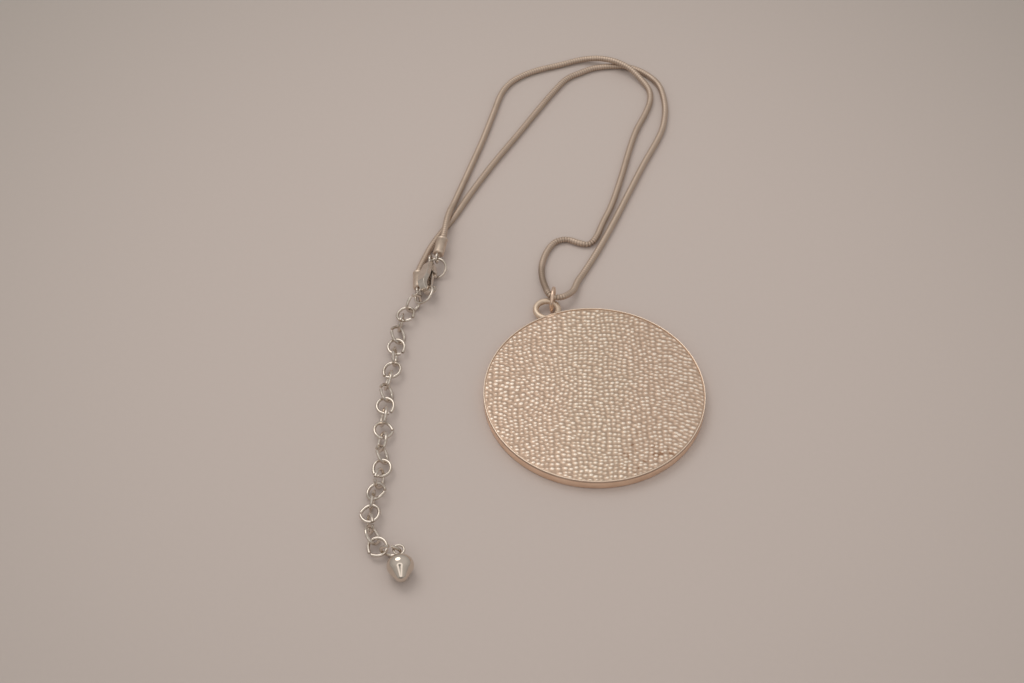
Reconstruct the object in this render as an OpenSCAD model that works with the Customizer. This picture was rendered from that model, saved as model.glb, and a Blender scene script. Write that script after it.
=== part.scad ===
// Disc pendant on a snake chain, laid flat: a cast disc with a pebbled face, its ear and jump ring,
// the folded chain with two end caps, a lobster clasp hooked to the first ring, and an extender with a drop.
// The origin is the centre of the disc's back face, +Z is up from the surface that everything rests on,
// and +Y points from the disc towards the top of the chain. Lengths are in millimetres.

/* [Disc] */
// Diameter of the disc
disc_d = 45; // [38:0.5:52]
// Thickness of the disc, from the back to the top of its lip
disc_t = 2.4; // [2:0.1:3.2]
// Width of the round lip that borders the face
lip_w = 0.5; // [0.4:0.05:0.8]
// Radius of the soft edge round the back
back_round = 0.2; // [0.1:0.05:0.8]
// Depth of the fine groove under the lip
groove_d = 0.12; // [0.05:0.01:0.2]
// Height of that groove
groove_h = 0.14; // [0.08:0.01:0.25]

/* [Pebbled face] */
// Width of one column of pebbles
pebble_w = 1.02; // [0.95:0.01:1.6]
// Length of one pebble along its column
pebble_l = 0.93; // [0.9:0.01:1.5]
// Height of a pebble over the seams round it
pebble_h = 0.3; // [0.15:0.01:0.4]
// Depth of the seams below the top of the lip
seam_depth = 0.45; // [0.35:0.01:0.7]
// How far the columns wander sideways
column_wave = 0.22; // [0:0.01:0.3]

/* [Ear] */
// Outer diameter of the ear
ear_d = 6; // [5:0.1:7]
// Thickness of the ear's round section
ear_wire = 1.25; // [0.9:0.05:1.4]
// Direction of the ear from the disc's centre, in degrees from +X
ear_turn = 112.3; // [90:0.1:125]
// How far the ear is cast into the edge of the disc
ear_bite = 1; // [0.6:0.05:1.2]

/* [Pendant ring] */
// Outer diameter of the ring that joins ear and chain
ring_d = 5.6; // [4.8:0.1:6]
// Wire thickness of that ring
ring_wire = 0.75; // [0.6:0.05:0.9]

/* [Chain] */
// Diameter of the snake chain
chain_d = 1.4; // [1:0.05:1.6]
// Outer diameter of each end cap
cap_d = 2.35; // [2.1:0.05:2.4]
// Length of each end cap
cap_len = 4.7; // [3.5:0.1:5]
// Length of chain held in each cap
cap_grip = 1.8; // [1:0.1:2.5]
// Outer diameter of the loop on each cap
cap_loop_d = 2.6; // [2.3:0.05:2.8]
// Wire thickness of those loops
cap_loop_wire = 0.5; // [0.4:0.05:0.55]

/* [Clasp] */
// Width of the clasp across its round end
clasp_w = 4.2; // [3.8:0.1:4.4]
// Thickness of the clasp
clasp_t = 2.5; // [2.2:0.1:2.6]
// Distance between the centres of its round end and its shoulder
clasp_reach = 5.4; // [5:0.1:5.6]
// Width of the shoulder
shoulder_w = 2.6; // [2.4:0.1:2.8]
// Width of the opening for rings
clasp_gap = 2.3; // [2.1:0.1:2.4]
// Thickness of the lever
lever_t = 1.2; // [0.9:0.05:1.3]
// Diameter of the rivet that the lever turns on
rivet_d = 0.6; // [0.5:0.05:0.7]
// Outer diameter of the loop on the clasp's tail
tail_d = 2.7; // [2.5:0.05:2.8]
// Wire thickness of that loop
tail_wire = 0.55; // [0.45:0.05:0.6]
// Outer diameter of the ring between the first cap and the clasp
join_d = 4.7; // [4.5:0.05:4.8]
// Wire thickness of that ring
join_wire = 0.55; // [0.45:0.05:0.6]
// Outer diameter of the ring that the clasp is hooked to
hitch_d = 5.1; // [5:0.05:5.2]
// Wire thickness of that ring
hitch_wire = 0.55; // [0.45:0.05:0.6]

/* [Extender] */
// Length of a link over its wire
link_len = 4.5; // [4.4:0.05:4.7]
// Width of a link over its wire
link_w = 4.05; // [3.8:0.05:4.3]
// Wire thickness of a link
link_wire = 0.55; // [0.4:0.05:0.6]
// How far the pinched joint of a link stands out
link_tip = 0.3; // [0:0.05:0.4]
// Diameter of the drop at the end, at its widest
ball_d = 5.2; // [4.6:0.1:6]
// Length of the drop without its loop
ball_len = 5.3; // [5:0.1:6.4]
// Outer diameter of the drop's loop
ball_loop_d = 2.5; // [2.3:0.05:2.8]
// Wire thickness of that loop
ball_loop_wire = 0.5; // [0.4:0.05:0.55]

/* [Fits] */
// Clearance between neighbouring pieces
piece_gap = 0.12; // [0.1:0.01:0.16]
// Clearance round the chain in a cap
bore_gap = 0.08; // [0.05:0.01:0.12]
// Clearance round the rivet in the lever
pivot_gap = 0.08; // [0.05:0.01:0.1]
// Height of the lowest metal over the surface
floor_gap = 0.03; // [0:0.01:0.05]

/* [Hidden] */
$fn = 64;

// Names for the parts of a point
X = 0;
Y = 1;
Z = 2;

function unit(v) = v / norm(v);

// Points of an arc round c, from angle a0 to a1
function arc(c, r, a0, a1, steps) =
  [for (k = [0:steps]) let (a = a0 + (a1 - a0) * k / steps) c + r * [cos(a), sin(a)]];

// One ring of a swept wire: sides points round p, across the direction t, with up held near the second axis
function wire_ring(p, t, up, r, sides) =
  let (u = unit(cross(t, up)), v = unit(cross(u, t)))
  [for (k = [0:sides - 1]) let (a = 360 * (k + 0.5) / sides) p + r * (cos(a) * u + sin(a) * v)];

// A wire with round section r along the points of path
module swept_wire(path, tangents, ups, r, sides) {
  count = len(path);
  points = [for (i = [0:count - 1]) each wire_ring(path[i], tangents[i], ups[i], r, sides)];
  start_cap = [[for (k = [0:sides - 1]) k]];
  end_cap = [[for (k = [sides - 1:-1:0]) (count - 1) * sides + k]];
  walls = [for (i = [0:count - 2], k = [0:sides - 1])
    let (a = i * sides + k, b = i * sides + (k + 1) % sides)
    each [[a, a + sides, b + sides], [a, b + sides, b]]];
  polyhedron(points, concat(start_cap, walls, end_cap));
}

// A closed round ring in the plane z = 0
module wire_torus(outer_d, wire) {
  rotate_extrude() translate([(outer_d - wire) / 2, 0]) circle(d = wire);
}

// Moves children so that their x axis points along direction
module aim(at, direction) {
  translate(at)
    rotate([0, -asin(direction[Z] / norm(direction)), atan2(direction[Y], direction[X])])
      children();
}

// Disc
disc_r = disc_d / 2;
seam_z = disc_t - seam_depth;
lip_r = lip_w / 2;
face_r = disc_r - 0.8 * lip_w;
face_base_z = disc_t / 2;
groove_z = disc_t - lip_w;
seam_jitter = 0.14;
peak_jitter = 0.2;

// Ear and pendant ring: the ring stands upright and runs under the ear's outer wall
ear_r = (ear_d - ear_wire) / 2;
ear_under_gap = 0.2;
ear_z = ring_wire + floor_gap + ear_under_gap + ear_wire / 2;
ear_at = (disc_r + ear_d / 2 - ear_bite) * [cos(ear_turn), sin(ear_turn)];
ring_side = 1.2;
ring_inset = 0.32;
ring_turn = -8;
ring_at = [ear_at[X] + ring_side, ear_at[Y] + sqrt(ear_r * ear_r - ring_side * ring_side) - ring_inset,
  ring_d / 2 + floor_gap];

// Chain route, from the end in cap A over the top and back to the pendant ring, then on to the end in cap B.
// Columns: x and y from a point that lies chain_up beyond the pendant ring's centre, share of a strand's height
// where one strand lies on the other, and share of the height at which the chain passes over the ear.
chain_up = 0.9;
route = [
  [-24.1, 15.4, 1.16, 0], [-23.5, 18.8, 1.2, 0], [-23.1, 22.3, 1.15, 0], [-22.5, 26.2, 0.75, 0],
  [-21.4, 30.5, 0.15, 0], [-18.4, 40.6, 0, 0], [-15.6, 50, 0, 0], [-13, 59.9, 0, 0],
  [-11.4, 66.1, 0, 0], [-9.7, 69.7, 0, 0], [-7.2, 72.5, 0, 0], [-2.9, 75.1, 0, 0],
  [3.1, 77.3, 0, 0], [8.1, 79, 0.1, 0], [11.5, 78.8, 0.5, 0], [14.1, 77.8, 0.9, 0],
  [16.9, 76.5, 1, 0], [19.8, 74.5, 0.8, 0], [22.4, 71.5, 0.3, 0], [24.1, 68.3, 0, 0],
  [24.2, 64.5, 0, 0], [22.9, 60, 0, 0], [20.5, 54.2, 0, 0], [18.6, 47.8, 0, 0],
  [16.2, 38.2, 0, 0], [13.8, 29.7, 0, 0], [11.5, 23.7, 0, 0], [10, 19.6, 0, 0],
  [8.4, 17.4, 0, 0], [6.3, 17.6, 0, 0], [3.5, 18.7, 0, 0], [0.9, 17.9, 0, 0],
  [-1, 15, 0, 0], [-2.1, 11.1, 0, 0], [-2.1, 7.1, 0, 0.15], [-1.4, 3.2, 0, 0.55],
  [-0.8, 0.6, 0, 0.98], [0, -0.3, 0, 1], [1.2, -0.4, 0, 0.97], [2.7, 0.5, 0, 0.75],
  [4.4, 2.7, 0, 0.4], [5.6, 6.3, 0, 0.1], [7.1, 9.2, 0, 0], [10.5, 16.1, 0, 0],
  [14.1, 24.3, 0, 0], [17.7, 33.2, 0, 0], [21.5, 42.5, 0, 0], [25.6, 51.8, 0, 0],
  [27.1, 57.2, 0, 0], [27.6, 63.2, 0, 0], [26.6, 69.8, 0, 0], [23.5, 74.1, 0, 0],
  [19.7, 76.4, 0, 0], [15.7, 76.8, 0, 0], [11.3, 76.1, 0, 0], [7.8, 74.3, 0, 0],
  [4.5, 72.1, 0, 0], [1.3, 67.5, 0, 0], [-1.9, 62.1, 0, 0], [-7.2, 52.7, 0, 0],
  [-12.8, 43, 0, 0], [-17.7, 33.6, 0, 0], [-21.3, 26, 0, 0], [-23.4, 22.2, 0, 0],
  [-25.1, 19.1, 0, 0], [-26.6, 15.9, 0, 0], [-27.5, 13.2, 0.1, 0], [-28.2, 10.9, 0.25, 0],
  [-28.8, 8.4, 0.38, 0], [-28.7, 6.4, 0.41, 0]];
OVER = 2;
PASS = 3;
ring_row = 37;

chain_r = chain_d / 2;
chain_z = chain_r + floor_gap;
over_rise = chain_d + piece_gap;
pass_z = ear_z + ear_wire / 2 + piece_gap + chain_r;
chain_path = [for (p = route) [ring_at[X] + p[X], ring_at[Y] + chain_up + p[Y],
  chain_z + p[OVER] * over_rise + p[PASS] * (pass_z - chain_z)]];
chain_last = len(chain_path) - 1;
chain_dirs = [for (i = [0:chain_last])
  unit(chain_path[min(i + 1, chain_last)] - chain_path[max(i - 1, 0)])];
chain_sides = 8;

// End caps, each on the line of the chain's last stretch
cap_a_end = chain_path[0];
cap_a_dir = unit(chain_path[0] - chain_path[1]);
cap_b_end = chain_path[chain_last];
cap_b_dir = unit(chain_path[chain_last] - chain_path[chain_last - 1]);
cap_loop_r = (cap_loop_d - cap_loop_wire) / 2;
cap_reach = cap_len + cap_loop_r;
function cap_mouth(end, dir) = end - cap_grip * dir;
function cap_loop_at(end, dir) = end + (cap_reach - cap_grip) * dir;

// Clasp, standing on its lever side: x runs from the spine to the lever, y to the tail, z through its thickness
clasp_left = 26.5;
clasp_up = 6.25;
clasp_high = 2.68;
clasp_at = [ring_at[X] - clasp_left, ring_at[Y] + clasp_up, clasp_high];
clasp_turn = [-6, 0, -5.2];
clasp_roll = 51;
hook_y = -2.2;
shoulder_y = hook_y + clasp_reach;
shoulder_x = -0.2;
mouth_low = -1.75;
mouth_high = shoulder_y - 1.3;
rivet_at = [0.55, shoulder_y - 0.5];
lever_root_r = rivet_d / 2 + 0.35;
lever_tip_r = 0.3;
lever_tip_at = [clasp_gap / 2 - lever_tip_r - piece_gap + 0.1, mouth_low + 0.1];
tail_y = shoulder_y + shoulder_w / 2 + tail_d / 2 - tail_wire / 2 - 0.1;
tail_roll = 25;
hook_thin = 0.5;
shoulder_thin = 0.62;

// Rings round the clasp: offsets from the clasp's centre, and the turns that lay each ring
join_at = [1.6, 4.1, -1.18];
join_turn = [28.5, -14, 0];
hitch_at = [-0.82, -4.52, -0.08];
hitch_turn = [-0.5, -36, 0];
cap_a_roll = 5;
cap_b_roll = 20;

// Extender links: columns are the heading in degrees from +X, the roll about that heading,
// the side where the joint is pinched in degrees from the heading, and the slack to the next link.
links = [
  [-132, 104, 90, 0.3], [-112, 9, 70, 0.36], [-100, 84, 60, 0.44], [-97, 132, 90, 0.3],
  [-93, 180, -40, 0.25], [-93, 95, 90, 0.28], [-102, 5, -30, 0.3], [-98, 70, -60, 0.25],
  [-92, 125, 90, 0.25], [-93, 180, -35, 0.3], [-92, 250, 60, 0.33], [-90, 170, -90, 0.25],
  [-88, 240, 60, 0.3], [-86, 120, 90, 0.3], [-90, 180, 40, 0.35], [-104, 105, 60, 0.6],
  [-102, 20, 90, 0.75], [-98, 85, 90, 0.75], [-94, 10, -90, 0.75], [-80, 75, 60, 0.75],
  [-80, 130, -90, 0.9], [-46, 195, 90, 0.65], [-8, 95, 90, 0.35]];
HEADING = 0;
ROLL = 1;
PINCH = 2;
SLACK = 3;
link_last = len(links) - 1;
link_start = [clasp_at[X] - 2.95, clasp_at[Y] - 6.6];
link_a = (link_len - link_wire) / 2;
link_b = (link_w - link_wire) / 2;
link_taut = link_len - 2 * link_wire;
link_lift = 0.7;
link_steps = 16;
link_sides = 6;
link_split = 7;
pinch_spread = 50;

function link_step(i) = let (a = links[i], b = links[i + 1], h = (a[HEADING] + b[HEADING]) / 2)
  (link_taut - (a[SLACK] + b[SLACK]) / 2) * [cos(h), sin(h)];
function link_spots(i = 0, at = link_start) =
  i == link_last ? [at] : concat([at], link_spots(i + 1, at + link_step(i)));
link_xy = link_spots();
function link_z(i) = let (r = sin(links[i][ROLL]), tip = -(link_b + 1.2 * link_tip) * r * sin(links[i][PINCH]))
  link_wire / 2 + floor_gap + max(link_b * max(link_lift, abs(r)), tip);

// Drop: a broad round shoulder at the loop, and a narrower round tip. Its centre is where it is widest.
shoulder_round = 0.77 * ball_d / 2;
tip_round = 0.54 * ball_d / 2;
taper_in = ball_d / 2 - shoulder_round;
taper_along = ball_len - shoulder_round - tip_round;
taper_turn = acos((shoulder_round - tip_round) / norm([taper_in, taper_along])) - atan2(taper_along, -taper_in);
ball_loop_r = (ball_loop_d - ball_loop_wire) / 2;
ball_neck = 0.3;
ball_reach = shoulder_round + ball_loop_r + ball_neck;
ball_dir = [0.12, -1, -0.12];
ball_loop_side = 1.55;
ball_loop_down = 0.35;
ball_loop_at = [link_xy[link_last][X] + ball_loop_side, link_xy[link_last][Y] - ball_loop_down,
  ball_d / 2 + floor_gap - ball_reach * unit(ball_dir)[Z]];
ball_at = ball_loop_at + ball_reach * unit(ball_dir);

// Colours of the two metals
rose = [0.80, 0.64, 0.55];
silver = [0.75, 0.72, 0.68];

// Seam corners of the face: a grid whose columns wander, with a small shift at each corner
columns = ceil(face_r / pebble_w) + 1;
rows = ceil(face_r / pebble_l) + 1;
shifts_x = rands(-1, 1, (2 * columns + 1) * (2 * rows + 1), 7);
shifts_y = rands(-1, 1, (2 * columns + 1) * (2 * rows + 1), 19);
function corner_index(i, j) = (i + columns) * (2 * rows + 1) + j + rows;
function seam_corner(i, j) = let (n = corner_index(i, j)) [
  i * pebble_w + column_wave * sin(28 * j + 50 * sin(40 * i)) + seam_jitter * shifts_x[n],
  j * pebble_l + column_wave * sin(97 * i) + seam_jitter * shifts_y[n]];
function on_face(p) = norm(p) < face_r;

// Where the line from a, on the face, to b, off it, leaves the face
function rim_point(a, b) = let (d = b - a, m = a * d, q = d * d)
  a + d * (-m + sqrt(m * m - q * (a * a - face_r * face_r))) / q;

// Outline of one pebble, cut off at the edge of the face; each corner says whether it is on that edge
function pebble_outline(i, j) =
  let (c = [seam_corner(i, j), seam_corner(i + 1, j), seam_corner(i + 1, j + 1), seam_corner(i, j + 1)])
  [for (k = [0:3]) let (a = c[k], b = c[(k + 1) % 4]) each
    on_face(a) ? (on_face(b) ? [[a, 0]] : [[a, 0], [rim_point(a, b), 1]])
               : (on_face(b) ? [[rim_point(b, a), 1]] : [])];
function centre_sum(o, k = 0) = k == len(o) ? [0, 0] : o[k][0] + centre_sum(o, k + 1);
function lift(p, z) = [p[X], p[Y], z];

// Triangles of the pebbled face: a peak on each outline, walls under the edge, and a flat base
pebbles = [for (i = [-columns:columns - 1], j = [-rows:rows - 1])
  let (o = pebble_outline(i, j)) if (len(o) > 2) [i, j, o]];
face_triangles = [for (p = pebbles)
  let (o = p[2], n = len(o), s = corner_index(p[0], p[1]), m = centre_sum(o) / n,
    peak = lift(m, seam_z + pebble_h * (1 - peak_jitter * abs(shifts_x[s]))))
  each [for (k = [0:n - 1]) let (a = o[k], b = o[(k + 1) % n], at = lift(a[0], seam_z), bt = lift(b[0], seam_z))
    each concat([[bt, at, peak]], a[1] + b[1] < 2 ? [] :
      let (al = lift(a[0], face_base_z), bl = lift(b[0], face_base_z))
      [[at, bt, bl], [at, bl, al], [[0, 0, face_base_z], al, bl]])]];

module pebbled_face() {
  polyhedron([for (t = face_triangles) each t],
    [for (k = [0:len(face_triangles) - 1]) [3 * k, 3 * k + 1, 3 * k + 2]]);
}

// The disc without its pebbles, turned from half a section
module disc_blank() {
  rotate_extrude() polygon(concat([[0, 0]],
    arc([disc_r - back_round, back_round], back_round, -90, 0, 6),
    [[disc_r, groove_z - groove_h], [disc_r - groove_d, groove_z - groove_h],
     [disc_r - groove_d, groove_z], [disc_r, groove_z]],
    arc([disc_r - lip_r, disc_t - lip_r], lip_r, 0, 180, 10),
    [[disc_r - lip_w, seam_z - 0.1], [0, seam_z - 0.1]]));
}

module ear() {
  translate([ear_at[X], ear_at[Y], ear_z]) wire_torus(ear_d, ear_wire);
  neck_w = 0.8 * ear_d;
  neck_l = 0.85 * ear_wire;
  rotate([0, 0, ear_turn])
    translate([disc_r - ear_bite, -neck_w / 2, ear_z - 0.35 * ear_wire])
      cube([neck_l, neck_w, 0.7 * ear_wire]);
}

module pendant_disc() {
  color(rose) union() {
    disc_blank();
    ear();
    pebbled_face();
  }
}

module pendant_ring() {
  color(rose) translate(ring_at) rotate([0, 90, ring_turn]) wire_torus(ring_d, ring_wire);
}

module chain_part(first, last) {
  span = [first:last];
  color(silver) swept_wire([for (i = span) chain_path[i]], [for (i = span) chain_dirs[i]],
    [for (i = span) [0, 0, 1]], chain_r, chain_sides);
}

module chain_outer() { chain_part(0, ring_row); }
module chain_inner() { chain_part(ring_row, chain_last); }

// A cap: a cup for the chain's end with a loop on its closed end, standing in the x direction
module cap(end, dir, roll) {
  color(silver) aim(cap_mouth(end, dir), dir) union() {
    difference() {
      rotate([0, 90, 0]) cylinder(d = cap_d, h = cap_len);
      translate([-1, 0, 0]) rotate([0, 90, 0])
        cylinder(d = chain_d + 2 * bore_gap, h = cap_grip + piece_gap + 1);
    }
    translate([cap_reach, 0, 0]) rotate([90 + roll, 0, 0]) wire_torus(cap_loop_d, cap_loop_wire);
  }
}

module cap_a() { cap(cap_a_end, cap_a_dir, cap_a_roll); }
module cap_b() { cap(cap_b_end, cap_b_dir, cap_b_roll); }

module place_clasp() {
  translate(clasp_at) rotate(clasp_turn) rotate([0, clasp_roll, 0]) children();
}

// Seen flat: a drop-shaped frame round the opening for rings, with a mouth on the lever's side
module clasp_outline() {
  difference() {
    hull() {
      translate([0, hook_y]) circle(d = clasp_w);
      translate([shoulder_x, shoulder_y]) circle(d = shoulder_w);
    }
    hull() {
      translate([0.1, hook_y]) circle(d = clasp_gap);
      translate([0.1, mouth_high - 0.6]) circle(d = 1.4);
    }
    translate([0.1, mouth_low]) square([clasp_w, mouth_high - mouth_low]);
  }
}

// Seen from the lever's side: full thickness in the middle, thinner at both ends
module clasp_side() {
  half = clasp_t / 2;
  hook_end = hook_y - clasp_w / 2 - 0.1;
  shoulder_end = shoulder_y + shoulder_w / 2 + 0.1;
  polygon([[hook_end, -hook_thin * half], [hook_y + 1.7, -half], [1, -half], [shoulder_end, -shoulder_thin * half],
    [shoulder_end, shoulder_thin * half], [1, half], [hook_y + 1.7, half], [hook_end, hook_thin * half]]);
}

module clasp_body() {
  color(silver) place_clasp() union() {
    difference() {
      intersection() {
        linear_extrude(clasp_t, center = true) clasp_outline();
        rotate([90, 0, 90]) linear_extrude(2 * clasp_w, center = true) clasp_side();
      }
      translate([rivet_at[X] - lever_root_r - piece_gap, mouth_high - 0.7, -lever_t / 2 - piece_gap])
        cube([clasp_w, shoulder_y + shoulder_w - mouth_high, lever_t + 2 * piece_gap]);
    }
    translate([rivet_at[X], rivet_at[Y], 0]) cylinder(d = rivet_d, h = 0.8 * clasp_t, center = true);
    translate([shoulder_x, tail_y, 0]) rotate([0, tail_roll, 0]) wire_torus(tail_d, tail_wire);
  }
}

// The lever: an arm from the rivet to the hook's tip, with a thumb nub outside
module clasp_lever() {
  color(silver) place_clasp() difference() {
    union() {
      translate([rivet_at[X], rivet_at[Y], 0]) cylinder(r = lever_root_r, h = lever_t, center = true);
      linear_extrude(lever_t, center = true) hull() {
        translate(rivet_at + [0.1, -0.4]) circle(r = 0.45);
        translate(lever_tip_at) circle(r = lever_tip_r);
      }
      translate([rivet_at[X] + 0.85, rivet_at[Y] - 0.9, 0]) cylinder(r = 0.45, h = lever_t, center = true);
    }
    translate([rivet_at[X], rivet_at[Y], 0]) cylinder(d = rivet_d + 2 * pivot_gap, h = 2 * clasp_t, center = true);
  }
}

module join_ring() {
  color(silver) translate(clasp_at + join_at) rotate(join_turn) wire_torus(join_d, join_wire);
}

module hitch_ring() {
  color(silver) translate(clasp_at + hitch_at) rotate(hitch_turn) wire_torus(hitch_d, hitch_wire);
}

// An extender link: an oval of wire whose open ends meet in a pinched tip
module extender_link(i) {
  row = links[i];
  ahead = [cos(row[HEADING]), sin(row[HEADING]), 0];
  aside = [-sin(row[HEADING]) * cos(row[ROLL]), cos(row[HEADING]) * cos(row[ROLL]), sin(row[ROLL])];
  normal = cross(ahead, aside);
  centre = lift(link_xy[i], link_z(i));
  turn = [for (k = [0:link_steps]) row[PINCH] + link_split + (360 - 2 * link_split) * k / link_steps];
  path = [for (k = [0:link_steps])
    let (off = min(turn[k] - row[PINCH], 360 - turn[k] + row[PINCH]),
      grow = 1 + link_tip / link_b * pow(max(0, 1 - off / pinch_spread), 1.5))
    centre + grow * (link_a * cos(turn[k]) * ahead + link_b * sin(turn[k]) * aside)];
  dirs = [for (k = [0:link_steps]) unit(path[min(k + 1, link_steps)] - path[max(k - 1, 0)])];
  color(silver) swept_wire(path, dirs, [for (k = turn) normal], link_wire / 2, link_sides);
}

// The drop, with a short neck and a loop, lying so that the loop points back along the links
module ball_drop() {
  neck_d = 1.3;
  color(silver) aim(ball_at, -unit(ball_dir)) union() {
    rotate([0, 90, 0]) rotate_extrude() polygon(concat([[0, shoulder_round]],
      arc([taper_in, 0], shoulder_round, 90, taper_turn, 14),
      arc([0, -taper_along], tip_round, taper_turn, -90, 10)));
    rotate([0, 90, 0]) cylinder(d = neck_d, h = ball_reach - ball_loop_r + ball_loop_wire / 2);
    translate([ball_reach, 0, 0]) wire_torus(ball_loop_d, ball_loop_wire);
  }
}

pendant_disc();
pendant_ring();
chain_outer();
chain_inner();
cap_a();
cap_b();
join_ring();
clasp_body();
clasp_lever();
hitch_ring();
for (i = [0:link_last]) extender_link(i);
ball_drop();
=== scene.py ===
"""Disc pendant on a folded snake chain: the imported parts, dressed for a studio picture."""

import logging
import math
from dataclasses import dataclass
from enum import Enum
from typing import Sequence

import bmesh
import bpy
from mathutils import Euler, Matrix, Vector


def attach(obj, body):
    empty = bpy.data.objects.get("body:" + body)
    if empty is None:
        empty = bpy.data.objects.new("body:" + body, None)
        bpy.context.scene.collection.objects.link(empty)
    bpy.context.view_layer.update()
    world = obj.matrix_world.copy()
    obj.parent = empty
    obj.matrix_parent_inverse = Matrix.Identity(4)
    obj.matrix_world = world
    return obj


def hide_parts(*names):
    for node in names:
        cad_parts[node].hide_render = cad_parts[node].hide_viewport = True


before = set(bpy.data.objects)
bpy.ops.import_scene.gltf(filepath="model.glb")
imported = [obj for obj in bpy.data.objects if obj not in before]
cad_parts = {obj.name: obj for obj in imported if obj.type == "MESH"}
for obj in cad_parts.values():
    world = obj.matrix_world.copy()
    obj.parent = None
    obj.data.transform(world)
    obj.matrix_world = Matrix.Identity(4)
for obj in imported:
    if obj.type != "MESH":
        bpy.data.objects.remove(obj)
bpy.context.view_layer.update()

MM = 0.001
log = logging.getLogger("pendant")

Number = "Wire | float | int"
Point = tuple[float, float, float]
Colour = tuple[float, float, float]


# Node sheets


class Wire:
    """A node's output; each arithmetic sign on it adds a Math node to its sheet."""

    def __init__(self, sheet: "Sheet", socket: bpy.types.NodeSocket) -> None:
        """Keeps the sheet and the socket."""
        self.sheet, self.socket = sheet, socket

    def maths(self, operation: str, *values: Number) -> "Wire":
        """A Math node on this output.

        Args:
            operation: the node's operation.
            values: the second and third value, numbers or wires.

        Returns:
            The node's output.
        """
        return self.sheet.maths(operation, self, *values)

    def __add__(self, other: Number) -> "Wire":
        """Sum."""
        return self.maths("ADD", other)

    def __radd__(self, other: Number) -> "Wire":
        """Sum, reflected."""
        return self.maths("ADD", other)

    def __sub__(self, other: Number) -> "Wire":
        """Difference."""
        return self.maths("SUBTRACT", other)

    def __rsub__(self, other: Number) -> "Wire":
        """Difference, reflected."""
        return self.sheet.maths("SUBTRACT", other, self)

    def __mul__(self, other: Number) -> "Wire":
        """Product."""
        return self.maths("MULTIPLY", other)

    def __rmul__(self, other: Number) -> "Wire":
        """Product, reflected."""
        return self.maths("MULTIPLY", other)

    def __truediv__(self, other: Number) -> "Wire":
        """Quotient."""
        return self.maths("DIVIDE", other)

    def __pow__(self, other: Number) -> "Wire":
        """Power."""
        return self.maths("POWER", other)

    def __neg__(self) -> "Wire":
        """Opposite."""
        return self.maths("MULTIPLY", -1.0)

    def __gt__(self, other: Number) -> "Wire":
        """One where this output is the larger, else zero."""
        return self.maths("GREATER_THAN", other)

    def __mod__(self, other: Number) -> "Wire":
        """Remainder, never negative."""
        return self.maths("FLOORED_MODULO", other)

    def floor(self) -> "Wire":
        """Whole number below."""
        return self.maths("FLOOR")

    def abs(self) -> "Wire":
        """Size without sign."""
        return self.maths("ABSOLUTE")

    def sin(self) -> "Wire":
        """Sine of an angle in radians."""
        return self.maths("SINE")

    def cos(self) -> "Wire":
        """Cosine of an angle in radians."""
        return self.maths("COSINE")

    def least(self, other: Number) -> "Wire":
        """The smaller of the two."""
        return self.maths("MINIMUM", other)

    def most(self, other: Number) -> "Wire":
        """The larger of the two."""
        return self.maths("MAXIMUM", other)

    def ease(self, low: Number, high: Number) -> "Wire":
        """A smooth step.

        Args:
            low: where the step starts.
            high: where it ends; below low it falls.

        Returns:
            Zero before the step and one after it.
        """
        return self.sheet.node(
            "ShaderNodeMapRange", {"interpolation_type": "SMOOTHSTEP"},
            {"Value": self, "From Min": low, "From Max": high})


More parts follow.
